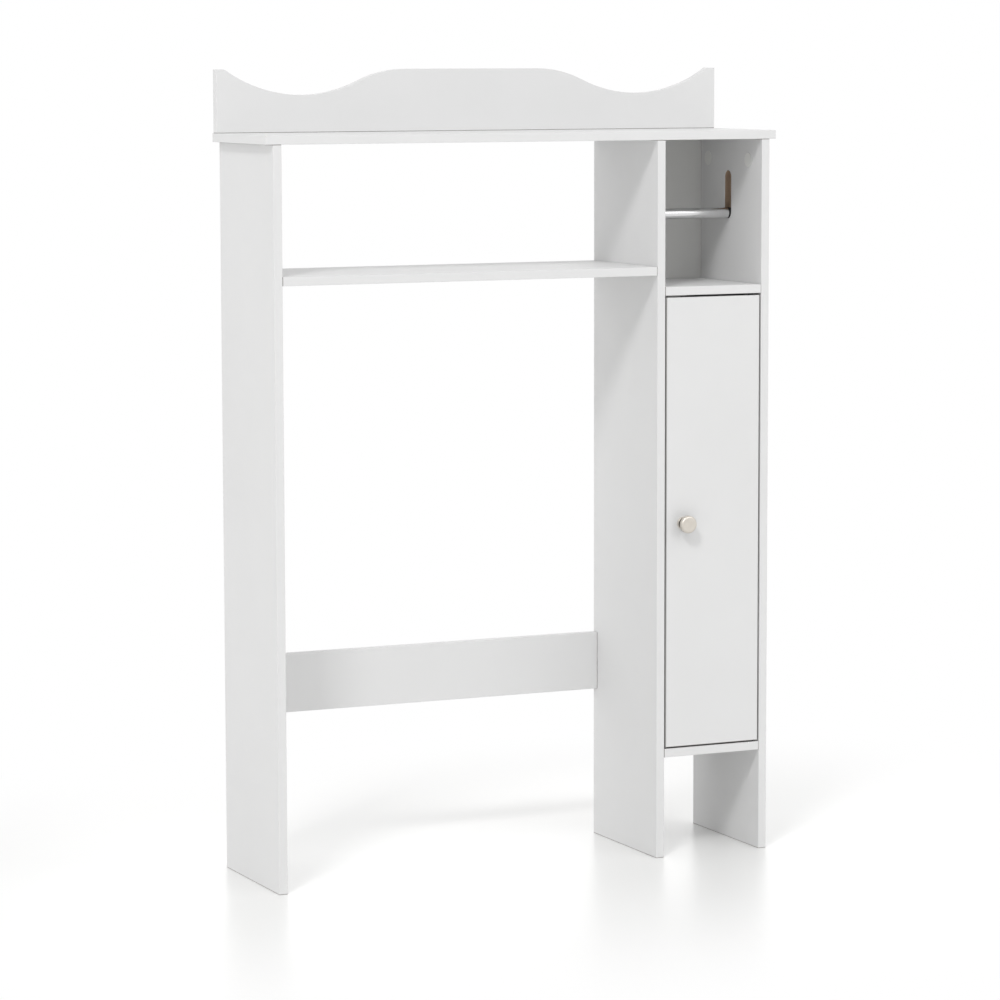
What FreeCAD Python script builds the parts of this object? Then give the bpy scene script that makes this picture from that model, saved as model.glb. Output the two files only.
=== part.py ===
import FreeCAD, Part
import math
import os
import re
import Sketcher

# Over-toilet cabinet of white boards: a wide open bay that straddles the cistern and, at the right,
# a narrow column with an open roll cubby above an inset door. Millimetres, +Z up, -Y is the front.
# The origin is on the floor, under the middle of the top board and of the depth with the knob.

DRIVING_SIZES = {
    # boards and the spaces they enclose
    "board": 12,
    "depth": 200,
    "panel_height": 1002,
    "bay_width": 554,
    "column_width": 150,
    "top_overhang": 10,
    "shelf_drop": 174,
    "rail_clear": 213,
    "rail_height": 82,
    "cubby_height": 202,
    "leg_clear": 142,
    # scalloped backsplash
    "splash_height": 86,
    "splash_inset": 4,
    "scallop_depth": 35,
    "scallop_inset": 125,
    "scallop_rise": 155,
    "scallop_radius": 200,
    # hardboard back of the column, held in grooves
    "back_thickness": 3,
    "back_inset": 15,
    "groove_depth": 5,
    "groove_clearance": 0.2,
    # loose shelf behind the door and its pins
    "inner_shelf_rise": 300,
    "inner_shelf_setback": 25,
    "inner_shelf_clearance": 0.8,
    "pin_diameter": 5,
    "pin_grip": 8,
    "pin_reach": 7,
    "pin_inset": 55,
    # inset door
    "door_thickness": 12,
    "door_side_gap": 2.5,
    "door_top_gap": 3,
    "door_bottom_gap": 2,
    "door_edge_round": 0.8,
    # pivot hinges at the top and bottom of the door
    "pivot_inset": 9,
    "pivot_diameter": 4,
    "pivot_grip": 9,
    "pivot_reach": 9,
    "pivot_flange": 10,
    "pivot_flange_thickness": 1,
    "pivot_clearance": 0.05,
    "pivot_running_gap": 0.1,
    "bush_wall": 1.5,
    "bush_length": 11,
    # door knob and its screw
    "knob_inset": 26,
    "knob_projection": 20,
    "knob_head": 24.5,
    "knob_head_thickness": 6,
    "knob_rim_round": 3.2,
    "knob_flare": 2.5,
    "knob_neck": 11,
    "knob_base": 18,
    "knob_base_thickness": 3,
    "knob_screw": 4,
    "knob_screw_head": 8,
    "knob_screw_head_height": 2.4,
    "knob_screw_grip": 9,
    # magnetic catch under the cubby shelf, and its strike on the door
    "catch_side_gap": 2,
    "catch_width": 38,
    "catch_depth": 15,
    "catch_height": 14,
    "catch_wall": 2,
    "catch_ear": 9,
    "catch_ear_thickness": 2.5,
    "catch_clearance": 0.1,
    "magnet_width": 16,
    "magnet_depth": 9,
    "magnet_thickness": 4,
    "pole_thickness": 1.2,
    "pole_proud": 1,
    "strike_width": 30,
    "strike_height": 14,
    "strike_thickness": 1.2,
    "strike_gap": 0.3,
    "strike_drop": 1,
    # roll rod and the upright slots that carry it
    "rod_diameter": 15,
    "rod_wall": 1,
    "rod_end_gap": 1.8,
    "rod_seat_gap": 0.3,
    "slot_width": 18.5,
    "slot_depth": 8,
    "slot_height": 67.5,
    "slot_drop": 46,
    "plug_reach": 6.5,
    "plug_spigot": 14,
    "plug_clearance": 0.1,
    # round covers over the cam locks under the top board
    "cover_diameter": 20,
    "cover_thickness": 0.8,
    "cover_drop": 30,
    "cover_inset": 40,
    # blind holes are this much deeper, and this much wider all round, than what they hold
    "hole_end_gap": 1,
    "fit_clearance": 0.05,
    # an open cut runs this far past the face it opens
    "overrun": 1,
}

# place of the knob, as a share of the door's height
KNOB_HEIGHT_SHARE = 0.5

doc = FreeCAD.newDocument("over_toilet_cabinet")
sizes = doc.addObject("Spreadsheet::Sheet", "sizes")
for row, (alias, amount) in enumerate(DRIVING_SIZES.items(), start=1):
    sizes.set(f"A{row}", alias)
    sizes.set(f"B{row}", str(amount))
    sizes.setAlias(f"B{row}", alias)
doc.recompute()

X = FreeCAD.Vector(1, 0, 0)
Y = FreeCAD.Vector(0, 1, 0)
Z = FreeCAD.Vector(0, 0, 1)
nodes = []

# Places worked out from the driving sizes, as formulas of the sheet's aliases
carcass_width = "(3 * board + bay_width + column_width)"
top_width = f"({carcass_width} + 2 * top_overhang)"
left_x = f"(-{carcass_width} / 2)"
bay_x = f"({left_x} + board)"
middle_x = f"({bay_x} + bay_width)"
column_x = f"({middle_x} + board)"
right_x = f"({column_x} + column_width)"
front_y = "((knob_projection - depth) / 2)"
back_y = f"({front_y} + depth)"
centre_y = f"({front_y} + depth / 2)"
splash_y = f"({back_y} - splash_inset - board)"
shelf_z = "(panel_height - shelf_drop - board)"
cubby_z = "(panel_height - cubby_height - board)"
column_depth = "(depth - back_inset - back_thickness)"

# Door, hinge and knob
door_x = f"({column_x} + door_side_gap)"
door_z = "(leg_clear + board + door_bottom_gap)"
door_width = "(column_width - 2 * door_side_gap)"
door_height = f"({cubby_z} - door_top_gap - {door_z})"
door_back_y = f"({front_y} + door_thickness)"
pivot_x = f"({door_x} + {door_width} - pivot_inset)"
pivot_y = f"({front_y} + door_thickness / 2)"
bush_diameter = "(pivot_diameter + 2 * pivot_clearance + 2 * bush_wall)"
bush_flange_thickness = "(door_bottom_gap - pivot_flange_thickness - pivot_running_gap)"
knob_z = f"({door_z} + {KNOB_HEIGHT_SHARE} * {door_height})"

# Catch and strike
catch_x = f"({column_x} + catch_side_gap)"
catch_y = f"({door_back_y} + strike_thickness + strike_gap + pole_proud)"
catch_z = f"({cubby_z} - catch_height)"
catch_middle = f"({catch_x} + catch_width / 2)"
stack_height = "(magnet_thickness + 2 * pole_thickness)"
magnet_x = f"({catch_middle} - magnet_width / 2)"
lower_pole_z = f"({catch_z} + catch_wall)"
strike_top = f"({cubby_z} - door_top_gap - strike_drop)"

# Roll rod and loose shelf
slot_floor_z = "(panel_height - slot_drop - slot_height)"
rod_z = f"({slot_floor_z} + rod_seat_gap + rod_diameter / 2)"
pin_z = "(leg_clear + board + inner_shelf_rise)"
pin_rows = ("pin_inset", f"({column_depth} - pin_inset)")

# Holes that fit the hardware
pivot_hole = "(pivot_diameter + 2 * fit_clearance)"
pivot_hole_depth = "(pivot_grip + hole_end_gap)"
pin_hole = "(pin_diameter + 2 * fit_clearance)"
pin_hole_depth = "(pin_grip + hole_end_gap)"
knob_screw_hole = "(knob_screw + 2 * fit_clearance)"


# Formulas, placements and sketches

def cell(word):
    return "sizes." + word.group() if word.group() in DRIVING_SIZES else word.group()


def bind(thing, path, formula):
    thing.setExpression(path, re.sub(r"[a-z_]+", cell, str(formula)))


def place(thing, x, y, z, rotation=FreeCAD.Rotation()):
    thing.Placement = FreeCAD.Placement(FreeCAD.Vector(), rotation)
    for axis, formula in zip("xyz", (x, y, z)):
        bind(thing, f"Placement.Base.{axis}", formula)


def turned(along_x, along_z):
    # the rotation that takes a piece's own X and Z to these directions
    return FreeCAD.Rotation(along_x, along_z.cross(along_x), along_z, "ZXY")


def new_body(label, x, y, z):
    body = doc.addObject("PartDesign::Body", label)
    body.Label = label
    place(body, x, y, z)
    nodes.append(body)
    return body


def new_master(label):
    # a piece that stands for its copies and is not written by itself
    return doc.addObject("PartDesign::Body", label)


def copies(label, master, places):
    # one node that holds the master at each place, given as x, y, z and a rotation
    links = []
    for x, y, z, rotation in places:
        link = doc.addObject("App::Link", label + "_copy")
        link.LinkedObject = master
        place(link, x, y, z, rotation)
        links.append(link)
    group = doc.addObject("Part::Compound", label)
    group.Label = label
    group.Links = links
    nodes.append(group)


def sketch_on(body, plane, level=0):
    sketch = body.newObject("Sketcher::SketchObject", body.Name + "_sketch")
    origin_plane = next(feature for feature in body.Origin.OriginFeatures if feature.Role == plane)
    sketch.AttachmentSupport = [(origin_plane, "")]
    sketch.MapMode = "FlatFace"
    bind(sketch, "AttachmentOffset.Base.z", level)
    return sketch


def join(sketch, kind, *points):
    sketch.addConstraint(Sketcher.Constraint(kind, *points))


def measure(sketch, formula, kind, *points, start=1):
    # the constraint has its starting value until the formula sets it
    index = sketch.addConstraint(Sketcher.Constraint(kind, *points, start))
    bind(sketch, f"Constraints[{index}]", formula)


def draw_polygon(sketch, corners):
    # a closed outline, each corner held by two formulas from the sketch's origin
    count = len(corners)
    start = [FreeCAD.Vector(index, index * index, 0) for index in range(count)]
    lines = [sketch.addGeometry(Part.LineSegment(start[index - 1], start[index])) for index in range(count)]
    for index, (across, up) in enumerate(corners):
        join(sketch, "Coincident", lines[index - 1], 2, lines[index], 1)
        measure(sketch, across, "DistanceX", -1, 1, lines[index], 1)
        measure(sketch, up, "DistanceY", -1, 1, lines[index], 1)


def draw_rectangle(sketch, left, bottom, width, height):
    right = f"({left} + {width})"
    top = f"({bottom} + {height})"
    draw_polygon(sketch, [(left, bottom), (right, bottom), (right, top), (left, top)])


def draw_circle(sketch, across, up, diameter):
    circle = sketch.addGeometry(Part.Circle(FreeCAD.Vector(1, 1, 0), Z, 1))
    measure(sketch, across, "DistanceX", -1, 1, circle, 3)
    measure(sketch, up, "DistanceY", -1, 1, circle, 3)
    measure(sketch, diameter, "Diameter", circle)


# Features. Along is 1 where a feature follows its plane's normal and -1 where it goes against it.
# The normals are +Z for XY_Plane, -Y for XZ_Plane and +X for YZ_Plane.

def pad(body, sketch, length, along=1):
    feature = body.newObject("PartDesign::Pad", body.Name + "_pad")
    feature.Profile = sketch
    feature.Reversed = along < 0
    bind(feature, "Length", length)


def cut(body, sketch, length, along):
    feature = body.newObject("PartDesign::Pocket", body.Name + "_cut")
    feature.Profile = sketch
    feature.Reversed = along > 0
    bind(feature, "Length", length)
    return feature


def turn(body, sketch, axis):
    feature = body.newObject("PartDesign::Revolution", body.Name + "_turned")
    feature.Profile = sketch
    feature.ReferenceAxis = (sketch, [axis])
    feature.Angle = 360


def drill(body, plane, level, spots, diameter, length, along):
    sketch = sketch_on(body, plane, level)
    for across, up in spots:
        draw_circle(sketch, across, up, diameter)
    cut(body, sketch, length, along)


def cut_slot(body, plane, level, across, bottom, width, height, length, along):
    # an upright slot: a straight cut between two round ends
    ends = [(across, f"({bottom} + {width} / 2)"), (across, f"({bottom} + {height} - {width} / 2)")]
    drill(body, plane, level, ends, width, length, along)
    middle = sketch_on(body, plane, level)
    draw_rectangle(middle, f"({across} - {width} / 2)", f"({bottom} + {width} / 2)",
                   width, f"({height} - {width})")
    cut(body, middle, length, along)


def column_holes(panel, level, along):
    # groove of the back, slot of the roll rod and pin holes, on a face that looks into the column
    groove = sketch_on(panel, "YZ_Plane", level)
    draw_rectangle(groove, f"({column_depth} - groove_clearance)", "(leg_clear - groove_clearance)",
                   "(back_thickness + 2 * groove_clearance)",
                   "(panel_height - leg_clear + groove_clearance + overrun)")
    cut(panel, groove, "groove_depth", along)
    cut_slot(panel, "YZ_Plane", level, "depth / 2", slot_floor_z,
             "slot_width", "slot_height", "slot_depth", along)
    drill(panel, "YZ_Plane", level, [(row, pin_z) for row in pin_rows], pin_hole, pin_hole_depth, along)


# Side panels

def side_panel(label, x):
    panel = new_body(label, x, front_y, 0)
    outline = sketch_on(panel, "YZ_Plane")
    draw_rectangle(outline, 0, 0, "depth", "panel_height")
    pad(panel, outline, "board")
    return panel


side_panel("left_side_panel", left_x)
middle_panel = side_panel("middle_side_panel", middle_x)
column_holes(middle_panel, "board", -1)
right_panel = side_panel("right_side_panel", right_x)
column_holes(right_panel, 0, 1)


# Level boards

def level_board(label, x, z, length, board_depth):
    board = new_body(label, x, front_y, z)
    outline = sketch_on(board, "XY_Plane")
    draw_rectangle(outline, 0, 0, length, board_depth)
    pad(board, outline, "board")
    return board


level_board("top_board", f"(-{top_width} / 2)", "panel_height", top_width, "depth")
level_board("main_shelf", bay_x, shelf_z, "bay_width", "depth")

pivot_spot = (f"({pivot_x} - {column_x})", f"({pivot_y} - {front_y})")
cubby_shelf = level_board("cubby_shelf", column_x, cubby_z, "column_width", column_depth)
drill(cubby_shelf, "XY_Plane", 0, [pivot_spot], pivot_hole, pivot_hole_depth, 1)
cabinet_floor = level_board("cabinet_floor", column_x, "leg_clear", "column_width", column_depth)
drill(cabinet_floor, "XY_Plane", "board", [pivot_spot], pivot_hole, pivot_hole_depth, -1)

inner_shelf = new_body("inner_shelf", f"{column_x} + inner_shelf_clearance",
                       f"{front_y} + inner_shelf_setback", f"{pin_z} + pin_diameter / 2")
outline = sketch_on(inner_shelf, "XY_Plane")
draw_rectangle(outline, 0, 0, "(column_width - 2 * inner_shelf_clearance)",
               f"({column_depth} - inner_shelf_setback - inner_shelf_clearance)")
pad(inner_shelf, outline, "board")


# Upright boards that face the front

def facing_board(label, x, y, z, width, height, thickness):
    board = new_body(label, x, y, z)
    outline = sketch_on(board, "XZ_Plane")
    draw_rectangle(outline, 0, 0, width, height)
    pad(board, outline, thickness, -1)
    return board


facing_board("lower_back_rail", bay_x, f"{back_y} - board", "rail_clear",
             "bay_width", "rail_height", "board")
facing_board("column_back_panel", f"{column_x} - groove_depth + groove_clearance",
             f"{front_y} + {column_depth}", "leg_clear",
             "(column_width + 2 * (groove_depth - groove_clearance))", "(panel_height - leg_clear)",
             "back_thickness")


# Scalloped backsplash: each dip is one wide arc that rises into the crest by a second, tangent arc.
# The flat crest between the two takes what is left of the width.

def draw_dip(sketch):
    # the outline starts at its true place, and the constraints then hold it to the sheet
    half_width = (3 * sizes.board + sizes.bay_width + sizes.column_width) / 2 + sizes.top_overhang
    run = sizes.scallop_rise
    dip_radius = sizes.scallop_radius
    crest_radius = (run ** 2 + sizes.scallop_depth ** 2) / (2 * sizes.scallop_depth) - dip_radius
    half_chord = math.sqrt(dip_radius ** 2 - (dip_radius - sizes.scallop_depth) ** 2)
    crest = FreeCAD.Vector(sizes.scallop_inset + run - half_width, sizes.splash_height, 0)
    tab = crest - X * (run + half_chord)
    dip_centre = crest - X * run + Y * (dip_radius - sizes.scallop_depth)
    crest_centre = crest - Y * crest_radius
    meeting = dip_centre + (crest_centre - dip_centre) * (dip_radius / (dip_radius + crest_radius))

    def arc(centre, radius, first, last):
        angles = [math.atan2(point.y - centre.y, point.x - centre.x) for point in (first, last)]
        return sketch.addGeometry(Part.ArcOfCircle(Part.Circle(centre, Z, radius), *angles))

    lid = sketch.addGeometry(Part.LineSegment(tab, crest))
    dip = arc(dip_centre, dip_radius, tab, meeting)
    rise = arc(crest_centre, crest_radius, crest, meeting)
    join(sketch, "Horizontal", lid)
    join(sketch, "Coincident", lid, 1, dip, 1)
    join(sketch, "Tangent", dip, 2, rise, 2)
    join(sketch, "Tangent", lid, 2, rise, 1)
    dip_height = "splash_height - scallop_depth + scallop_radius"
    measure(sketch, "scallop_radius", "Radius", dip, start=dip_radius)
    measure(sketch, f"scallop_inset - {top_width} / 2", "DistanceX", -1, 1, dip, 3, start=dip_centre.x)
    measure(sketch, dip_height, "DistanceY", -1, 1, dip, 3, start=dip_centre.y)
    crest_x = f"scallop_inset + scallop_rise - {top_width} / 2"
    measure(sketch, crest_x, "DistanceX", -1, 1, lid, 2, start=crest.x)
    measure(sketch, "splash_height", "DistanceY", -1, 1, lid, 2, start=crest.y)


splash = new_body("scalloped_backsplash", 0, splash_y, "panel_height + board")
outline = sketch_on(splash, "XZ_Plane")
draw_rectangle(outline, f"(-{top_width} / 2)", 0, top_width, "splash_height")
pad(splash, outline, "board", -1)
dip_sketch = sketch_on(splash, "XZ_Plane")
draw_dip(dip_sketch)
dip_cut = cut(splash, dip_sketch, "board + overrun", -1)
second_dip = splash.newObject("PartDesign::Mirrored", "second_dip")
second_dip.Originals = [dip_cut]
second_dip.MirrorPlane = (next(f for f in splash.Origin.OriginFeatures if f.Role == "YZ_Plane"), [""])
splash.Tip = second_dip


# Door: rounded round its front, bored for the hinge bushes and the knob's screw

def round_edges(body, edges, radius):
    base = body.Tip
    rounding = body.newObject("PartDesign::Fillet", body.Name + "_rounding")
    rounding.Base = (base, edges)
    bind(rounding, "Radius", radius)
    doc.recompute()


door = facing_board("door_panel", door_x, front_y, door_z, door_width, door_height, "door_thickness")
doc.recompute()
door_middle_y = door.Shape.BoundBox.Center.y
front_edges = [f"Edge{number}" for number, edge in enumerate(door.Shape.Edges, start=1)
               if edge.BoundBox.YMax < door_middle_y]
round_edges(door, front_edges, "door_edge_round")
bush_spot = (f"({door_width} - pivot_inset)", "door_thickness / 2")
for level, along in ((0, 1), (door_height, -1)):
    drill(door, "XY_Plane", level, [bush_spot], f"{bush_diameter} + 2 * fit_clearance",
          "bush_length + hole_end_gap", along)
knob_spot = ("knob_inset", f"({KNOB_HEIGHT_SHARE} * {door_height})")
drill(door, "XZ_Plane", "-door_thickness", [knob_spot], knob_screw_hole, "door_thickness + overrun", 1)


# Knob: a turned base, a slim neck and a broad flat head with a rounded rim, drilled for its screw

knob = new_body("door_knob", f"{door_x} + knob_inset", front_y, knob_z)
profile = sketch_on(knob, "XY_Plane")
head_back = "(knob_head_thickness - knob_projection)"
draw_polygon(profile, [
    ("0", "0"), ("knob_base / 2", "0"), ("knob_base / 2", "-knob_base_thickness"),
    ("knob_neck / 2", "-(knob_base_thickness + knob_flare)"),
    ("knob_neck / 2", f"({head_back} + knob_flare)"),
    ("knob_head / 2", head_back), ("knob_head / 2", "-knob_projection"), ("0", "-knob_projection")])
turn(knob, profile, "V_Axis")
doc.recompute()
rim_edges = [f"Edge{number}" for number, edge in enumerate(knob.Shape.Edges, start=1)
             if edge.BoundBox.XLength > sizes.knob_base and edge.BoundBox.YMin <= knob.Shape.BoundBox.YMin]
round_edges(knob, rim_edges, "knob_rim_round")
drill(knob, "XZ_Plane", 0, [("0", "0")], knob_screw_hole, "knob_screw_grip + hole_end_gap", 1)

knob_screw = new_body("knob_screw", f"{door_x} + knob_inset", door_back_y, knob_z)
for diameter, length, along in (("knob_screw_head", "knob_screw_head_height", -1),
                                ("knob_screw", "door_thickness + knob_screw_grip", 1)):
    outline = sketch_on(knob_screw, "XZ_Plane")
    draw_circle(outline, 0, 0, diameter)
    pad(knob_screw, outline, length, along)


# Turned hardware: each piece is drawn as half its section, beside its own Z

def turned_master(label, corners):
    piece = new_master(label)
    profile = sketch_on(piece, "XZ_Plane")
    draw_polygon(profile, corners)
    turn(piece, profile, "V_Axis")
    return piece


upright = FreeCAD.Rotation()
inverted = turned(X, -Z)


# Pivot hinges: a flanged pin in the board above and below, running in a flanged bush in the door

pin_end = "(pivot_flange_thickness + pivot_reach)"
pivot_pin = turned_master("pivot_pin", [
    ("0", "-pivot_grip"), ("pivot_diameter / 2", "-pivot_grip"), ("pivot_diameter / 2", "0"),
    ("pivot_flange / 2", "0"), ("pivot_flange / 2", "pivot_flange_thickness"),
    ("pivot_diameter / 2", "pivot_flange_thickness"), ("pivot_diameter / 2", pin_end), ("0", pin_end)])
copies("lower_pivot_pin", pivot_pin, [(pivot_x, pivot_y, "leg_clear + board", upright)])
copies("upper_pivot_pin", pivot_pin, [(pivot_x, pivot_y, cubby_z, inverted)])

bush_bore = "(pivot_diameter / 2 + pivot_clearance)"
door_bush = turned_master("door_bush", [
    (bush_bore, f"-{bush_flange_thickness}"), ("pivot_flange / 2", f"-{bush_flange_thickness}"),
    ("pivot_flange / 2", "0"), (f"{bush_diameter} / 2", "0"), (f"{bush_diameter} / 2", "bush_length"),
    (bush_bore, "bush_length")])
copies("lower_door_bush", door_bush, [(pivot_x, pivot_y, door_z, upright)])
copies("upper_door_bush", door_bush, [(pivot_x, pivot_y, f"{door_z} + {door_height}", inverted)])


# Magnetic catch and its strike

facing_board("strike_plate", f"{catch_middle} - strike_width / 2", door_back_y,
             f"{strike_top} - strike_height", "strike_width", "strike_height", "strike_thickness")

housing = new_body("catch_housing", catch_x, catch_y, catch_z)
for left, width, bottom in (("catch_ear", "(catch_width - 2 * catch_ear)", "0"),
                            ("0", "catch_width", "(catch_height - catch_ear_thickness)")):
    outline = sketch_on(housing, "XY_Plane", bottom)
    draw_rectangle(outline, left, 0, width, "catch_depth")
    pad(housing, outline, f"catch_height - {bottom}")
mouth = sketch_on(housing, "XZ_Plane")
draw_rectangle(mouth, "((catch_width - magnet_width) / 2 - catch_clearance)", "catch_wall",
               "(magnet_width + 2 * catch_clearance)", f"({stack_height} + catch_clearance)")
cut(housing, mouth, "magnet_depth", -1)

magnet = new_body("catch_magnet", magnet_x, catch_y, f"{lower_pole_z} + pole_thickness")
outline = sketch_on(magnet, "XY_Plane")
draw_rectangle(outline, 0, 0, "magnet_width", "magnet_depth")
pad(magnet, outline, "magnet_thickness")

pole_plate = new_master("pole_plate")
outline = sketch_on(pole_plate, "XY_Plane")
draw_rectangle(outline, 0, "-pole_proud", "magnet_width", "(magnet_depth + pole_proud)")
pad(pole_plate, outline, "pole_thickness")
pole_heights = (lower_pole_z, f"{lower_pole_z} + pole_thickness + magnet_thickness")
copies("catch_pole_plates", pole_plate, [(magnet_x, catch_y, height, upright) for height in pole_heights])


# Roll rod: a tube that turns on two end plugs, which lie in the upright slots

rod = new_body("roll_rod_tube", f"{column_x} + rod_end_gap", centre_y, rod_z)
ring = sketch_on(rod, "YZ_Plane")
draw_circle(ring, 0, 0, "rod_diameter")
draw_circle(ring, 0, 0, "rod_diameter - 2 * rod_wall")
pad(rod, ring, "column_width - 2 * rod_end_gap")

plug_collar = "plug_clearance"
plug_end = "(rod_end_gap + plug_reach)"
plug_bore = "(rod_diameter / 2 - rod_wall - plug_clearance)"
plug = turned_master("rod_plug", [
    ("0", "-plug_spigot"), (plug_bore, "-plug_spigot"), (plug_bore, plug_collar),
    ("rod_diameter / 2", plug_collar), ("rod_diameter / 2", plug_end), ("0", plug_end)])
copies("rod_end_plugs", plug, [
    (f"{column_x} + rod_end_gap", centre_y, rod_z, turned(Z, -X)),
    (f"{right_x} - rod_end_gap", centre_y, rod_z, turned(-Z, X))])


# Shelf pins

shelf_pin = turned_master("shelf_pin", [
    ("0", "-pin_grip"), ("pin_diameter / 2", "-pin_grip"), ("pin_diameter / 2", "pin_reach"),
    ("0", "pin_reach")])
pin_ends = ((column_x, turned(-Z, X)), (right_x, turned(Z, -X)))
copies("shelf_pins", shelf_pin,
       [(x, f"{front_y} + {row}", pin_z, rotation) for x, rotation in pin_ends for row in pin_rows])


# Covers of the cam locks, flat on the panels' inner faces under the top board

cover = new_master("cam_cover")
outline = sketch_on(cover, "XY_Plane")
draw_circle(outline, 0, 0, "cover_diameter")
pad(cover, outline, "cover_thickness")
cover_height = "panel_height - cover_drop"
cover_rows = (f"{front_y} + cover_inset", f"{back_y} - cover_inset")
inner_faces = ((bay_x, turned(-Z, X)), (column_x, turned(-Z, X)), (right_x, turned(Z, -X)))
copies("cam_covers", cover,
       [(x, row, cover_height, rotation) for x, rotation in inner_faces for row in cover_rows])


# Checks, then one file for each node

doc.recompute()
for thing in doc.Objects:
    if "Invalid" in thing.State or "Error" in thing.State:
        raise RuntimeError(f"{thing.Label} failed: {thing.State}")
    if thing.isDerivedFrom("PartDesign::Pocket") and thing.Shape.Volume >= thing.BaseFeature.Shape.Volume:
        raise RuntimeError(f"{thing.Label} cuts nothing")
for node in nodes:
    if node.Shape.isNull() or not node.Shape.isValid() or not node.Shape.Solids:
        raise RuntimeError(f"{node.Label} has no sound shape")

os.makedirs("parts", exist_ok=True)
for node in nodes:
    node.Shape.exportStep(os.path.join("parts", node.Label + ".step"))
    print(node.Label, len(node.Shape.Solids), "solids", round(node.Shape.Volume), "mm3")
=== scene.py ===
import math

import bmesh
import bpy
from mathutils import Matrix, Vector


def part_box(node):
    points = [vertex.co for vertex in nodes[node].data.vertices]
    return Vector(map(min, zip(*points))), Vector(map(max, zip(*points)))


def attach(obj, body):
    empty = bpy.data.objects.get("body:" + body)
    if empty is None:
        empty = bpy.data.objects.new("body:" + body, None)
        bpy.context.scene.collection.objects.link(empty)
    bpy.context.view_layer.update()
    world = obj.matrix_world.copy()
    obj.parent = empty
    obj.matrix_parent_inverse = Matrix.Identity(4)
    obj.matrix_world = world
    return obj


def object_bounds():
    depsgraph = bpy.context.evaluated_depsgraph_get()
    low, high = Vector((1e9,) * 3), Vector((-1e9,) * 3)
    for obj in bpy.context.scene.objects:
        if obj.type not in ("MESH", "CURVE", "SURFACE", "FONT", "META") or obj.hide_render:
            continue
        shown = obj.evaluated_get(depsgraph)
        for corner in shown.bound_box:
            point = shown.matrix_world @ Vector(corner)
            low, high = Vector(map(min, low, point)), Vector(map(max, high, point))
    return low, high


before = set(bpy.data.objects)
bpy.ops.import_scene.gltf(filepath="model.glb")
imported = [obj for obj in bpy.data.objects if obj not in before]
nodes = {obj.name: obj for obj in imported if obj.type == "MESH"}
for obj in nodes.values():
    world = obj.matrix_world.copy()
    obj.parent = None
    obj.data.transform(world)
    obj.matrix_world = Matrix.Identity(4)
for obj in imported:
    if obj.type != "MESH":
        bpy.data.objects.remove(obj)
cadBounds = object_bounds()
mm = 0.001
print("frame loaded:", len(nodes), "nodes")


# colours, nodes and materials

def hexLinear(code):  # sRGB hex to linear
    parts = [int(code[i:i + 2], 16) / 255 for i in (1, 3, 5)]
    return [p / 12.92 if p <= 0.04045 else ((p + 0.055) / 1.055) ** 2.4 for p in parts] + [1.0]


def addNode(tree, kind, settings=None, links=None):  # links: socket -> value, or another node's output
    node = tree.nodes.new(kind)
    for name, value in (settings or {}).items():
        setattr(node, name, value)
    for name, value in (links or {}).items():
        if isinstance(value, bpy.types.NodeSocket):
            tree.links.new(value, node.inputs[name])
        else:
            node.inputs[name].default_value = value
    return node


def startMaterial(name, **sockets):  # sockets that are the same all over go straight on the shader
    material = bpy.data.materials.new(name)
    material.use_nodes = True
    tree = material.node_tree
    shader = tree.nodes["Principled BSDF"]
    for socket, value in sockets.items():
        shader.inputs[socket.replace("_", " ")].default_value = value
    place = addNode(tree, "ShaderNodeTexCoord").outputs["Object"]
    return material, tree, shader, place


def linkShader(tree, shader, colour, rough, normal=None):
    tree.links.new(colour, shader.inputs["Base Color"])
    tree.links.new(rough, shader.inputs["Roughness"])
    if normal is not None:
        tree.links.new(normal, shader.inputs["Normal"])


def patternScale(sizeMm):  # a noise with grains of this size, in object metres
    return 1 / (sizeMm * mm)


def dress(names, material):
    for name in names:
        nodes[name].data.materials.clear()
        nodes[name].data.materials.append(material)


# white melamine foil pressed on MDF: an even cool white with a soft sheen, a faint pearl grain that only
# breaks the highlight, grey sealer on the sawn ends whose band onto the faces is painted shade, a thin dark
# line at the joints, and bare brown fibre in the milled slots
foil = dict(white="#E1E1E1", whiteAway="#DCDCDC", cloudMm=140, cloudDetail=3.0, ior=1.46, shine=0.25,
            grainMm=1.6, grainDepth=0.05, grainHighMm=0.1,  # real pearl is near 0.4 mm: coarser to show
            rough=(0.52, 0.64), sheenMm=24, sealerAndJointShade="#7C7874", gapShadeGrey="#B6B6B4", edgeMm=(0.5, 0.9),
            core="#B39F8C", coreDark="#937E6A", fibreMm=0.9, fibreDetail=5.0, fibreCrisp=0.7,
            coreRough=0.85, skinMm=(0.25, 0.45))


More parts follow.
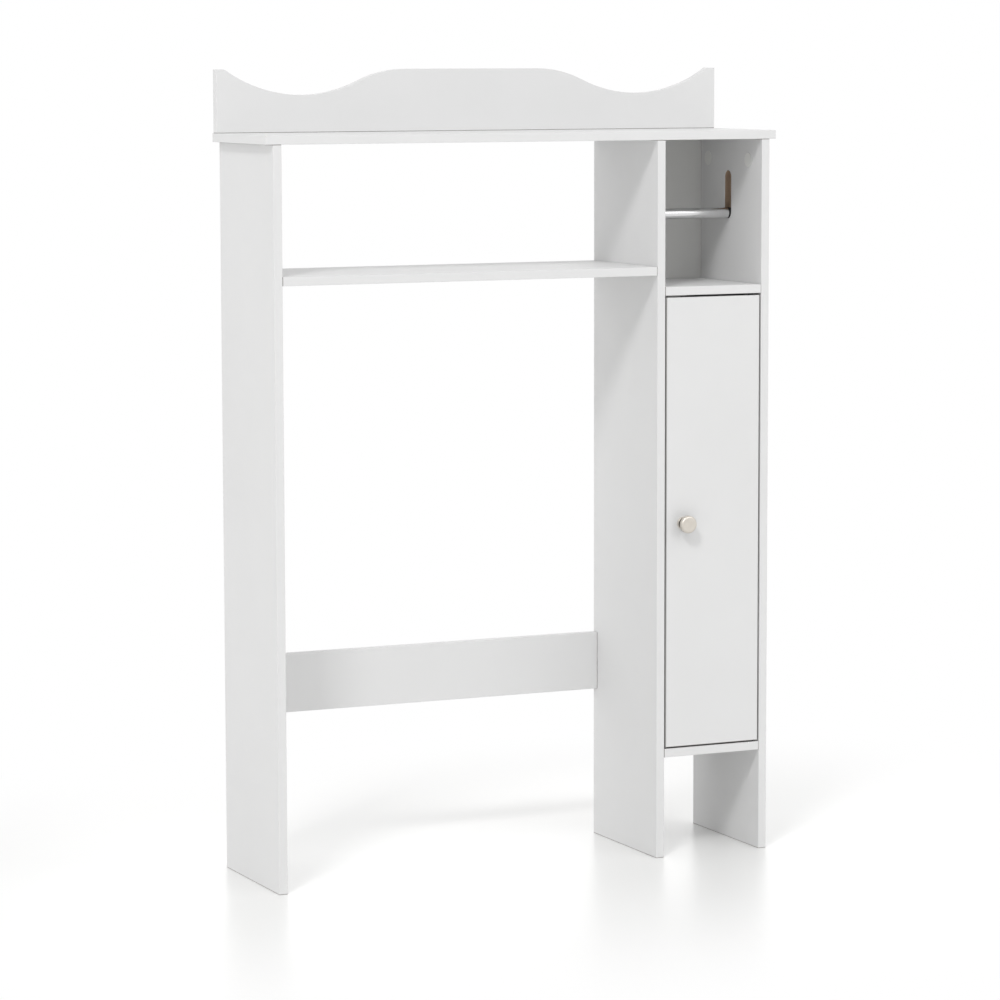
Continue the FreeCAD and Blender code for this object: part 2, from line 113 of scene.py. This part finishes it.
def foilBoard(board, edges, slotted=False):  # edges: a side of the board's box, as "-z", and its finish
    material, tree, shader, place = startMaterial("foil_faced_mdf_" + board, IOR=foil["ior"],
                                                  Specular_IOR_Level=foil["shine"])
    cloud = addNode(tree, "ShaderNodeTexNoise", None,
                    {"Vector": place, "Scale": patternScale(foil["cloudMm"]),
                     "Detail": foil["cloudDetail"]})
    tone = addNode(tree, "ShaderNodeMix", {"data_type": "RGBA"},
                   {"Factor": cloud.outputs["Fac"], "A": hexLinear(foil["white"]),
                    "B": hexLinear(foil["whiteAway"])})
    grain = addNode(tree, "ShaderNodeTexVoronoi", {"feature": "SMOOTH_F1"},
                    {"Vector": place, "Scale": patternScale(foil["grainMm"])})
    sheen = addNode(tree, "ShaderNodeTexNoise", None,
                    {"Vector": place, "Scale": patternScale(foil["sheenMm"])})
    gloss = addNode(tree, "ShaderNodeMapRange", None,
                    {"Value": sheen.outputs["Fac"], "To Min": foil["rough"][0],
                     "To Max": foil["rough"][1]})
    bump = addNode(tree, "ShaderNodeBump", None,
                   {"Height": grain.outputs["Distance"], "Strength": foil["grainDepth"],
                    "Distance": foil["grainHighMm"] * mm})
    low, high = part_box(board)
    fromLow = addNode(tree, "ShaderNodeVectorMath", {"operation": "SUBTRACT"}, {0: place, 1: low})
    fromHigh = addNode(tree, "ShaderNodeVectorMath", {"operation": "SUBTRACT"}, {0: high, 1: place})
    inside = {"-": addNode(tree, "ShaderNodeSeparateXYZ", None, {"Vector": fromLow.outputs["Vector"]}),
              "+": addNode(tree, "ShaderNodeSeparateXYZ", None, {"Vector": fromHigh.outputs["Vector"]})}
    colour, rough = tone.outputs["Result"], gloss.outputs["Result"]
    for side, finish in edges.items():  # painted shade: the end face takes grey sealer and its band runs onto the faces, a thin dark line where a sawn end butts on the next board, the floor or a door gap
        sealerAndShadeBand = addNode(tree, "ShaderNodeMapRange", None,
                           {"Value": inside[side[0]].outputs[side[1].upper()],
                            "From Min": foil["edgeMm"][0] * mm, "From Max": foil["edgeMm"][1] * mm,
                            "To Min": 1.0, "To Max": 0.0})
        edged = addNode(tree, "ShaderNodeMix", {"data_type": "RGBA"},
                        {"Factor": sealerAndShadeBand.outputs["Result"], "A": colour, "B": hexLinear(foil[finish])})
        colour = edged.outputs["Result"]
    if slotted:  # below the skin of the board's own box the milled fibre shows
        nearest = addNode(tree, "ShaderNodeVectorMath", {"operation": "MINIMUM"},
                          {0: fromLow.outputs["Vector"], 1: fromHigh.outputs["Vector"]})
        axes = addNode(tree, "ShaderNodeSeparateXYZ", None, {"Vector": nearest.outputs["Vector"]})
        least = addNode(tree, "ShaderNodeMath", {"operation": "MINIMUM"},
                        {0: axes.outputs["X"], 1: axes.outputs["Y"]})
        depth = addNode(tree, "ShaderNodeMath", {"operation": "MINIMUM"},
                        {0: least.outputs["Value"], 1: axes.outputs["Z"]})
        milled = addNode(tree, "ShaderNodeMapRange", None,
                         {"Value": depth.outputs["Value"], "From Min": foil["skinMm"][0] * mm,
                          "From Max": foil["skinMm"][1] * mm})
        fibre = addNode(tree, "ShaderNodeTexNoise", None,
                        {"Vector": place, "Scale": patternScale(foil["fibreMm"]),
                         "Detail": foil["fibreDetail"], "Roughness": foil["fibreCrisp"]})
        core = addNode(tree, "ShaderNodeMix", {"data_type": "RGBA"},
                       {"Factor": fibre.outputs["Fac"], "A": hexLinear(foil["core"]),
                        "B": hexLinear(foil["coreDark"])})
        mixed = addNode(tree, "ShaderNodeMix", {"data_type": "RGBA"},
                        {"Factor": milled.outputs["Result"], "A": colour, "B": core.outputs["Result"]})
        coreRough = addNode(tree, "ShaderNodeMix", {"data_type": "FLOAT"},
                            {"Factor": milled.outputs["Result"], "A": rough, "B": foil["coreRough"]})
        colour, rough = mixed.outputs["Result"], coreRough.outputs["Result"]
    linkShader(tree, shader, colour, rough, bump.outputs["Normal"])
    return material


boards = {
    "left_side_panel": {"-z": "sealerAndJointShade", "+z": "sealerAndJointShade"},
    "middle_side_panel": {"-z": "sealerAndJointShade", "+z": "sealerAndJointShade"},
    "right_side_panel": {"-z": "sealerAndJointShade", "+z": "sealerAndJointShade"},
    "top_board": {},  # both its ends show, so the foil wraps them
    "scalloped_backsplash": {"-z": "sealerAndJointShade"},
    "main_shelf": {"-x": "sealerAndJointShade", "+x": "sealerAndJointShade"},
    "cubby_shelf": {"-x": "sealerAndJointShade", "+x": "sealerAndJointShade", "+y": "sealerAndJointShade"},
    "cabinet_floor": {"-x": "sealerAndJointShade", "+x": "sealerAndJointShade", "+y": "sealerAndJointShade"},
    "inner_shelf": {"-x": "sealerAndJointShade", "+x": "sealerAndJointShade", "+y": "sealerAndJointShade"},
    "lower_back_rail": {"-x": "sealerAndJointShade", "+x": "sealerAndJointShade"},
    "door_panel": {"-z": "sealerAndJointShade", "-x": "gapShadeGrey", "+x": "gapShadeGrey"},  # painted shade: the long edges are grey so that the gaps beside the door read dark
}
slottedBoards = ("middle_side_panel", "right_side_panel")
for board, edges in boards.items():
    dress([board], foilBoard(board, edges, board in slottedBoards))
print("boards finished")


# board edges: the foil wraps a small round, so every edge catches a thin line of light
edge = dict(roundMm=0.6, thinRoundMm=0.2, thinPieces=("column_back_panel", "cam_covers"), steps=3,
            angleDeg=40, weldMm=0.005)
sawnBoards = [board for board in boards if board != "door_panel"]  # the door comes with its own round
for name in sawnBoards + ["column_back_panel", "cam_covers", "catch_housing"]:
    weld = nodes[name].modifiers.new("joinFacets", "WELD")
    weld.merge_threshold = edge["weldMm"] * mm
    rounding = nodes[name].modifiers.new("edgeRound", "BEVEL")
    rounding.width = edge["thinRoundMm" if name in edge["thinPieces"] else "roundMm"] * mm
    rounding.segments = edge["steps"]
    rounding.limit_method = "ANGLE"
    rounding.angle_limit = math.radians(edge["angleDeg"])
    rounding.use_clamp_overlap = False
    rounding.loop_slide = False  # an even width, also where thin facets run into a bore
    rounding.harden_normals = True
print("edges rounded")


# lacquered hardboard back: white roller lacquer inside, and towards the wall bare brown pressed fibre,
# mottled, with the print of the wire screen that it was pressed on
hardboard = dict(white="#D6D6D4", bareFibreAndSideShade="#957A5B", bareDark="#604A34", ior=1.46, rough=0.5, bareRough=0.8,
                 fibreMm=11, fibreDetail=6.0, fibreCrisp=0.75, skinMm=0.3, sideShadeMm=(0.7, 2.6),
                 rollerMm=9, rollerDepth=0.06, rollerHighMm=0.2,
                 screenMm=4.5, screenDepth=0.35, screenHighMm=0.4)  # real wires lie near 1.2 mm apart
material, tree, shader, place = startMaterial("lacquered_hardboard", IOR=hardboard["ior"])
backLow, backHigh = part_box("column_back_panel")
along = addNode(tree, "ShaderNodeSeparateXYZ", None, {"Vector": place})
outside = addNode(tree, "ShaderNodeMath", {"operation": "GREATER_THAN"},
                  {0: along.outputs["Y"], 1: backHigh.y - hardboard["skinMm"] * mm})
fibre = addNode(tree, "ShaderNodeTexNoise", None,
                {"Vector": place, "Scale": patternScale(hardboard["fibreMm"]),
                 "Detail": hardboard["fibreDetail"], "Roughness": hardboard["fibreCrisp"]})
bareFibreAndSideShade = addNode(tree, "ShaderNodeMix", {"data_type": "RGBA"},
               {"Factor": fibre.outputs["Fac"], "A": hexLinear(hardboard["bareFibreAndSideShade"]),
                "B": hexLinear(hardboard["bareDark"])})
middle = addNode(tree, "ShaderNodeMath", {"operation": "SUBTRACT"},
                 {0: along.outputs["X"], 1: (backLow.x + backHigh.x) / 2})
aside = addNode(tree, "ShaderNodeMath", {"operation": "ABSOLUTE"}, {0: middle.outputs["Value"]})
halfWidth = (backHigh.x - backLow.x) / 2
sawnSideShade = addNode(tree, "ShaderNodeMapRange", None,  # painted shade: a dark strip along both sawn sides stands for the shadow line in the corners where the back meets the side walls
               {"Value": aside.outputs["Value"], "From Min": halfWidth - hardboard["sideShadeMm"][1] * mm,
                "From Max": halfWidth - hardboard["sideShadeMm"][0] * mm})
bareBackAndSideShade = addNode(tree, "ShaderNodeMath", {"operation": "MAXIMUM"},
                    {0: outside.outputs["Value"], 1: sawnSideShade.outputs["Result"]})
skin = addNode(tree, "ShaderNodeMix", {"data_type": "RGBA"},
               {"Factor": bareBackAndSideShade.outputs["Value"], "A": hexLinear(hardboard["white"]),
                "B": bareFibreAndSideShade.outputs["Result"]})
skinRough = addNode(tree, "ShaderNodeMix", {"data_type": "FLOAT"},
                    {"Factor": outside.outputs["Value"], "A": hardboard["rough"],
                     "B": hardboard["bareRough"]})
flow = addNode(tree, "ShaderNodeTexNoise", None,
               {"Vector": place, "Scale": patternScale(hardboard["rollerMm"])})
rollerMarks = addNode(tree, "ShaderNodeBump", None,
                      {"Height": flow.outputs["Fac"], "Strength": hardboard["rollerDepth"],
                       "Distance": hardboard["rollerHighMm"] * mm})
bandAtOne = math.tau / 20  # the wave texture's bands are this wide, in metres, at a scale of 1
wires = bandAtOne * patternScale(hardboard["screenMm"])  # drawn coarser than real, to show
acrossWires = addNode(tree, "ShaderNodeTexWave", {"bands_direction": "X"},
                      {"Vector": place, "Scale": wires})
uprightWires = addNode(tree, "ShaderNodeTexWave", {"bands_direction": "Z"},
                       {"Vector": place, "Scale": wires})
woven = addNode(tree, "ShaderNodeMath", {"operation": "MULTIPLY"},
                {0: acrossWires.outputs["Fac"], 1: uprightWires.outputs["Fac"]})
pressed = addNode(tree, "ShaderNodeMath", {"operation": "MULTIPLY"},
                  {0: woven.outputs["Value"], 1: outside.outputs["Value"]})
screen = addNode(tree, "ShaderNodeBump", None,
                 {"Height": pressed.outputs["Value"], "Strength": hardboard["screenDepth"],
                  "Distance": hardboard["screenHighMm"] * mm, "Normal": rollerMarks.outputs["Normal"]})
linkShader(tree, shader, skin.outputs["Result"], skinRough.outputs["Result"], screen.outputs["Normal"])
dress(["column_back_panel"], material)
print("back finished")


# satin nickel plate over a turned knob: a warm soft mirror with fine rings left by the lathe
nickel = dict(bright="#DBD5CC", dull="#CDC7BE", tarnishMm=6, rough=(0.36, 0.46), ringMm=0.5, ringDetail=2.0,
              ringDepth=0.10, ringHighMm=0.02, groove="#332E29", headMm=5.6, baseMm=2.9, fadeMm=0.8)
material, tree, shader, place = startMaterial("satin_nickel_plate", Metallic=1.0)
knobLow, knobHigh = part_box("door_knob")
knobMiddle = (knobLow + knobHigh) / 2
fromMiddle = addNode(tree, "ShaderNodeVectorMath", {"operation": "SUBTRACT"}, {0: place, 1: knobMiddle})
flat = addNode(tree, "ShaderNodeVectorMath", {"operation": "MULTIPLY"},
               {0: fromMiddle.outputs["Vector"], 1: (1, 0, 1)})
reach = addNode(tree, "ShaderNodeVectorMath", {"operation": "LENGTH"}, {0: flat.outputs["Vector"]})
rings = addNode(tree, "ShaderNodeTexNoise", {"noise_dimensions": "1D"},
                {"W": reach.outputs["Value"], "Scale": patternScale(nickel["ringMm"]),
                 "Detail": nickel["ringDetail"]})
tarnish = addNode(tree, "ShaderNodeTexNoise", None,
                  {"Vector": place, "Scale": patternScale(nickel["tarnishMm"])})
plate = addNode(tree, "ShaderNodeMix", {"data_type": "RGBA"},
                {"Factor": tarnish.outputs["Fac"], "A": hexLinear(nickel["bright"]),
                 "B": hexLinear(nickel["dull"])})
along = addNode(tree, "ShaderNodeSeparateXYZ", None, {"Vector": place})
# painted shade: masks for the neck between the head and the base
pastHead = addNode(tree, "ShaderNodeMapRange", {"interpolation_type": "SMOOTHSTEP"},
                   {"Value": along.outputs["Y"], "From Min": knobLow.y + nickel["headMm"] * mm,
                    "From Max": knobLow.y + (nickel["headMm"] + nickel["fadeMm"]) * mm})
pastBase = addNode(tree, "ShaderNodeMapRange", {"interpolation_type": "SMOOTHSTEP"},
                   {"Value": along.outputs["Y"], "From Min": knobHigh.y - nickel["baseMm"] * mm,
                    "From Max": knobHigh.y - (nickel["baseMm"] + nickel["fadeMm"]) * mm})
inNeckShade = addNode(tree, "ShaderNodeMath", {"operation": "MULTIPLY"},
                   {0: pastHead.outputs["Result"], 1: pastBase.outputs["Result"]})
tone = addNode(tree, "ShaderNodeMix", {"data_type": "RGBA"},  # painted shade: the neck is coloured dark to stand for its shadow and dark reflection under the head
               {"Factor": inNeckShade.outputs["Value"], "A": plate.outputs["Result"],
                "B": hexLinear(nickel["groove"])})
gloss = addNode(tree, "ShaderNodeMapRange", None,
                {"Value": rings.outputs["Fac"], "To Min": nickel["rough"][0],
                 "To Max": nickel["rough"][1]})
cutMarks = addNode(tree, "ShaderNodeBump", None,
                   {"Height": rings.outputs["Fac"], "Strength": nickel["ringDepth"],
                    "Distance": nickel["ringHighMm"] * mm})
linkShader(tree, shader, tone.outputs["Result"], gloss.outputs["Result"], cutMarks.outputs["Normal"])
dress(["door_knob"], material)


# drawn steel tube with satin chrome: cool grey, streaked along its length by the drawing die
tube = dict(bright="#E6E6E6", dull="#D4D4D5", rough=(0.14, 0.22), streakMm=0.6, streakDetail=3.0,
            stretch=0.02)
material, tree, shader, place = startMaterial("drawn_satin_chrome_tube", Metallic=1.0)
drawn = addNode(tree, "ShaderNodeVectorMath", {"operation": "MULTIPLY"},
                {0: place, 1: (tube["stretch"], 1, 1)})
streak = addNode(tree, "ShaderNodeTexNoise", None,
                 {"Vector": drawn.outputs["Vector"], "Scale": patternScale(tube["streakMm"]),
                  "Detail": tube["streakDetail"]})
tone = addNode(tree, "ShaderNodeMix", {"data_type": "RGBA"},
               {"Factor": streak.outputs["Fac"], "A": hexLinear(tube["bright"]),
                "B": hexLinear(tube["dull"])})
gloss = addNode(tree, "ShaderNodeMapRange", None,
                {"Value": streak.outputs["Fac"], "To Min": tube["rough"][0], "To Max": tube["rough"][1]})
linkShader(tree, shader, tone.outputs["Result"], gloss.outputs["Result"])
dress(["roll_rod_tube"], material)


# mouldings and small steel: one recipe, a colour drifting between two tones and a grain on the skin
smallGrain = dict(detail=3.0, highMm=0.05)
smallFinishes = {
    "moulded_black_abs": dict(  # dull black with a sparked mould texture
        tones=("#2B2B2C", "#222223"), rough=(0.42, 0.55), grainMm=0.7, depth=0.15, metal=0.0,
        dresses=["rod_end_plugs"]),
    "moulded_white_polypropylene": dict(  # soft waxy white
        tones=("#EAEAE8", "#E3E3E0"), rough=(0.40, 0.52), grainMm=0.8, depth=0.10, metal=0.0,
        dresses=["cam_covers", "catch_housing"]),
    "moulded_black_nylon": dict(  # waxy black, faintly clouded
        tones=("#303031", "#262627"), rough=(0.35, 0.45), grainMm=1.0, depth=0.08, metal=0.0,
        dresses=["lower_door_bush", "upper_door_bush"]),
    "black_oxide_steel": dict(  # oily blue-black, dull gleam
        tones=("#3A3A3D", "#2C2C2E"), rough=(0.30, 0.42), grainMm=0.8, depth=0.05, metal=1.0,
        dresses=["lower_pivot_pin", "upper_pivot_pin"]),
    "zinc_plated_steel": dict(  # bright, with a yellow-blue drift
        tones=("#C9CCCF", "#B4B3AB"), rough=(0.24, 0.38), grainMm=3.0, depth=0.05, metal=1.0,
        dresses=["knob_screw", "strike_plate", "catch_pole_plates", "shelf_pins"]),
    "sintered_ferrite": dict(  # charcoal grit
        tones=("#38383A", "#242426"), rough=(0.6, 0.8), grainMm=0.5, depth=0.25, metal=0.0,
        dresses=["catch_magnet"]),
}
smallMaterials = {}
for name, finish in smallFinishes.items():
    material, tree, shader, place = startMaterial(name, Metallic=finish["metal"])
    grain = addNode(tree, "ShaderNodeTexNoise", None,
                    {"Vector": place, "Scale": patternScale(finish["grainMm"]),
                     "Detail": smallGrain["detail"]})
    tone = addNode(tree, "ShaderNodeMix", {"data_type": "RGBA"},
                   {"Factor": grain.outputs["Fac"], "A": hexLinear(finish["tones"][0]),
                    "B": hexLinear(finish["tones"][1])})
    gloss = addNode(tree, "ShaderNodeMapRange", None,
                    {"Value": grain.outputs["Fac"], "To Min": finish["rough"][0],
                     "To Max": finish["rough"][1]})
    bump = addNode(tree, "ShaderNodeBump", None,
                   {"Height": grain.outputs["Fac"], "Strength": finish["depth"],
                    "Distance": smallGrain["highMm"] * mm})
    linkShader(tree, shader, tone.outputs["Result"], gloss.outputs["Result"], bump.outputs["Normal"])
    dress(finish["dresses"], material)
    smallMaterials[name] = material
print("hardware finished")


# small turned pieces, made once and set down at each spot with their top along the given direction
turned = dict(creaseDeg=35)


def turnedPiece(name, profile, spots, facing, sides, recess=None):  # profile: radius and height in mm
    mesh = bmesh.new()
    spin = Vector((0, 0, 1)).rotation_difference(Vector(facing)).to_matrix().to_4x4()
    for spot in spots:
        rows = []
        for radius, height in profile:
            row = []
            for i in range(sides):
                angle = math.tau * i / sides
                x, y, z = radius * math.cos(angle), radius * math.sin(angle), height
                across, outward = sorted((abs(x), abs(y)))
                if recess and across < recess["halfWidth"] and outward < recess["reach"]:
                    z -= recess["depth"] * (1 - outward / recess["reach"])
                row.append(mesh.verts.new(Matrix.Translation(spot) @ spin @ (Vector((x, y, z)) * mm)))
            rows.append(row)
        for lower, upper in zip(rows, rows[1:]):
            for i in range(sides):
                j = (i + 1) % sides
                mesh.faces.new((lower[i], lower[j], upper[j], upper[i]))
        mesh.faces.new(rows[-1])
        mesh.faces.new(rows[0][::-1])
    data = bpy.data.meshes.new(name)
    mesh.to_mesh(data)
    mesh.free()
    data.shade_smooth()
    piece = bpy.data.objects.new(name, data)
    bpy.context.scene.collection.objects.link(piece)
    creases = piece.modifiers.new("creases", "EDGE_SPLIT")
    creases.split_angle = math.radians(turned["creaseDeg"])
    return piece


# covers over the cam locks under the shelves, like the ones that come with the carcass
caps = dict(boards=("main_shelf", "cubby_shelf", "cabinet_floor"), fromEndsMm=30, fromFrontMm=(40, 160),
            rimMm=10.0, domeMm=0.8, shoulder=((0, 0.45), (0.12, 0.75), (0.45, 0.92)),  # mm in, dome share
            flatShares=(0.6, 0.2), sides=48)
capSpots = []
for board in caps["boards"]:
    low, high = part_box(board)
    for x in (low.x + caps["fromEndsMm"] * mm, high.x - caps["fromEndsMm"] * mm):
        capSpots += [Vector((x, low.y + back * mm, low.z)) for back in caps["fromFrontMm"]]
rim, dome = caps["rimMm"], caps["domeMm"]
capProfile = [(rim, 0)] + [(rim - inMm, dome * share) for inMm, share in caps["shoulder"]]
capProfile += [(rim * share, dome) for share in caps["flatShares"]]
lowerCaps = turnedPiece("shelf_cam_covers", capProfile, capSpots, (0, 0, -1), caps["sides"])
lowerCaps.data.materials.append(smallMaterials["moulded_white_polypropylene"])
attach(lowerCaps, "carcass")


# cross-head screws: each group sits in from both ends of the piece that it holds
screwHead = dict(shoulderShares=((1, 0), (1, 0.25), (0.96, 0.45), (0.85, 0.7)),
                 crownShares=(0.7, 0.58, 0.46, 0.34, 0.22, 0.1, 0.03), crownFall=0.3,
                 slotShare=0.17, slotReachShare=0.62, slotDepthShare=0.8, sides=40)
catchEarMm = 2.5
screws = {  # seat: the level of the face that the heads lie on
    "backsplash_screw_heads": dict(body="carcass", holds="scalloped_backsplash", fromEndsMm=(91, 281),
                                   headMm=3.7, riseMm=0.5, facing=(0, 0, -1),
                                   seat=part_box("top_board")[0].z),
    "catch_screw_heads": dict(body="carcass", holds="catch_housing", fromEndsMm=(4.5,),
                              headMm=2.8, riseMm=1.6, facing=(0, 0, -1),
                              seat=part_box("catch_housing")[1].z - catchEarMm * mm),
    "strike_screw_heads": dict(body="door", holds="strike_plate", fromEndsMm=(3.5,),
                               headMm=2.25, riseMm=0.35, facing=(0, 1, 0),
                               seat=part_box("strike_plate")[1].y),
}
for name, screw in screws.items():
    low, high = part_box(screw["holds"])
    centre = (low + high) / 2
    spots = []
    for inMm in screw["fromEndsMm"]:
        for x in (low.x + inMm * mm, high.x - inMm * mm):
            spot = zip(screw["facing"], (x, centre.y, centre.z))
            spots.append(Vector([screw["seat"] if faced else level for faced, level in spot]))
    head, rise = screw["headMm"], screw["riseMm"]
    profile = [(head * across, rise * up) for across, up in screwHead["shoulderShares"]]
    profile += [(head * share, rise * (1 - screwHead["crownFall"] * share))
                for share in screwHead["crownShares"]]
    recess = dict(halfWidth=screwHead["slotShare"] * head, reach=screwHead["slotReachShare"] * head,
                  depth=screwHead["slotDepthShare"] * rise)
    piece = turnedPiece(name, profile, spots, screw["facing"], screwHead["sides"], recess)
    piece.data.materials.append(smallMaterials["zinc_plated_steel"])
    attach(piece, screw["body"])
print("covers and screws set")


# studio: a pale floor in an even white room, with softboxes all round the cabinet
studio = dict(floorWhite="#F4F4F3", floorRough=0.29, floorShine=0.34, fadeReach=(0.05, 0.8),
              floorSize=14.0, room=0.67, aim=(0, 0, 0.55), far=10.0)
softboxes = {  # turned from straight ahead to the left, and raised
    "key": dict(turnDeg=42, riseDeg=42, size=1.8, power=308),
    "right_fill": dict(turnDeg=-30, riseDeg=36, size=8.6, power=206),
    "left_fill": dict(turnDeg=105, riseDeg=12, size=5.7, power=115),
    "back_fill": dict(turnDeg=-150, riseDeg=22, size=5.7, power=70),
}


def seenOutright(tree):  # 1 for what the camera sees, straight or in metal and glass
    path = addNode(tree, "ShaderNodeLightPath")
    mirrored = addNode(tree, "ShaderNodeMath", {"operation": "MAXIMUM"},
                       {0: path.outputs["Is Glossy Ray"], 1: path.outputs["Is Transmission Ray"]})
    shown = addNode(tree, "ShaderNodeMath", {"operation": "MAXIMUM"},
                    {0: path.outputs["Is Camera Ray"], 1: mirrored.outputs["Value"]})
    return shown.outputs["Value"]


# satin white vinyl sheet: it mirrors the legs softly, and past the shadows it fades into the white room
floorMesh = bmesh.new()
bmesh.ops.create_grid(floorMesh, x_segments=1, y_segments=1, size=studio["floorSize"] / 2)
floorData = bpy.data.meshes.new("studio_floor")
floorMesh.to_mesh(floorData)
floorMesh.free()
floor = bpy.data.objects.new("studio_floor", floorData)
bpy.context.scene.collection.objects.link(floor)
material, tree, shader, place = startMaterial("pale_floor", Base_Color=hexLinear(studio["floorWhite"]),
                                              Roughness=studio["floorRough"],
                                              Specular_IOR_Level=studio["floorShine"])
fromCentre = addNode(tree, "ShaderNodeVectorMath", {"operation": "ABSOLUTE"}, {0: place})
pastSide = addNode(tree, "ShaderNodeVectorMath", {"operation": "SUBTRACT"},
                   {0: fromCentre.outputs["Vector"], 1: (cadBounds[1].x, cadBounds[1].y, 0)})
outward = addNode(tree, "ShaderNodeVectorMath", {"operation": "MAXIMUM"},
                  {0: pastSide.outputs["Vector"], 1: (0, 0, 0)})
away = addNode(tree, "ShaderNodeVectorMath", {"operation": "LENGTH"}, {0: outward.outputs["Vector"]})
whiter = addNode(tree, "ShaderNodeMapRange", {"interpolation_type": "SMOOTHSTEP"},
                 {"Value": away.outputs["Value"], "From Min": studio["fadeReach"][0],
                  "From Max": studio["fadeReach"][1]})
fade = addNode(tree, "ShaderNodeMath", {"operation": "MULTIPLY"},
               {0: seenOutright(tree), 1: whiter.outputs["Result"]})
roomWhite = addNode(tree, "ShaderNodeEmission", None, {"Color": (1, 1, 1, 1), "Strength": 1.0})
faded = addNode(tree, "ShaderNodeMixShader", None,
                {0: fade.outputs["Value"], 1: shader.outputs["BSDF"], 2: roomWhite.outputs["Emission"]})
tree.links.new(faded.outputs["Shader"], tree.nodes["Material Output"].inputs["Surface"])
floorData.materials.append(material)

world = bpy.data.worlds.new("white_room")
bpy.context.scene.world = world
world.use_nodes = True
tree = world.node_tree
tree.nodes.clear()
ambient = addNode(tree, "ShaderNodeBackground", None, {"Color": (1, 1, 1, 1), "Strength": studio["room"]})
white = addNode(tree, "ShaderNodeBackground", None, {"Color": (1, 1, 1, 1), "Strength": 1.0})
choice = addNode(tree, "ShaderNodeMixShader", None,
                 {0: seenOutright(tree), 1: ambient.outputs["Background"], 2: white.outputs["Background"]})
addNode(tree, "ShaderNodeOutputWorld", None, {"Surface": choice.outputs["Shader"]})

for name, lamp in softboxes.items():
    turn, rise = math.radians(lamp["turnDeg"]), math.radians(lamp["riseDeg"])
    towards = Vector((-math.sin(turn) * math.cos(rise), -math.cos(turn) * math.cos(rise), math.sin(rise)))
    data = bpy.data.lights.new(name + "_softbox", "AREA")
    data.shape = "SQUARE"
    data.size = lamp["size"]
    data.energy = lamp["power"]
    softbox = bpy.data.objects.new(name + "_softbox", data)
    softbox.location = Vector(studio["aim"]) + towards * studio["far"]
    softbox.rotation_mode = "QUATERNION"
    softbox.rotation_quaternion = (-towards).to_track_quat("-Z", "Y")
    bpy.context.scene.collection.objects.link(softbox)
bpy.context.scene.view_settings.view_transform = "Standard"
print("studio lit")


# camera at the photograph's height and side
shot = dict(place=(-2.2261, -4.8495, 1.1161), yawDeg=24.634, pitchDeg=-6.527, rollDeg=-0.125,
            lensMm=139.47, sensorMm=36)
cameraData = bpy.data.cameras.new("shot")
cameraData.sensor_width = shot["sensorMm"]
cameraData.lens = shot["lensMm"]
camera = bpy.data.objects.new("shot", cameraData)
bpy.context.scene.collection.objects.link(camera)
turnToShot = (Matrix.Rotation(-math.radians(shot["yawDeg"]), 4, "Z")
              @ Matrix.Rotation(math.radians(90 + shot["pitchDeg"]), 4, "X")
              @ Matrix.Rotation(math.radians(shot["rollDeg"]), 4, "Z"))
camera.matrix_world = Matrix.Translation(shot["place"]) @ turnToShot
bpy.context.scene.camera = camera
print("camera placed")
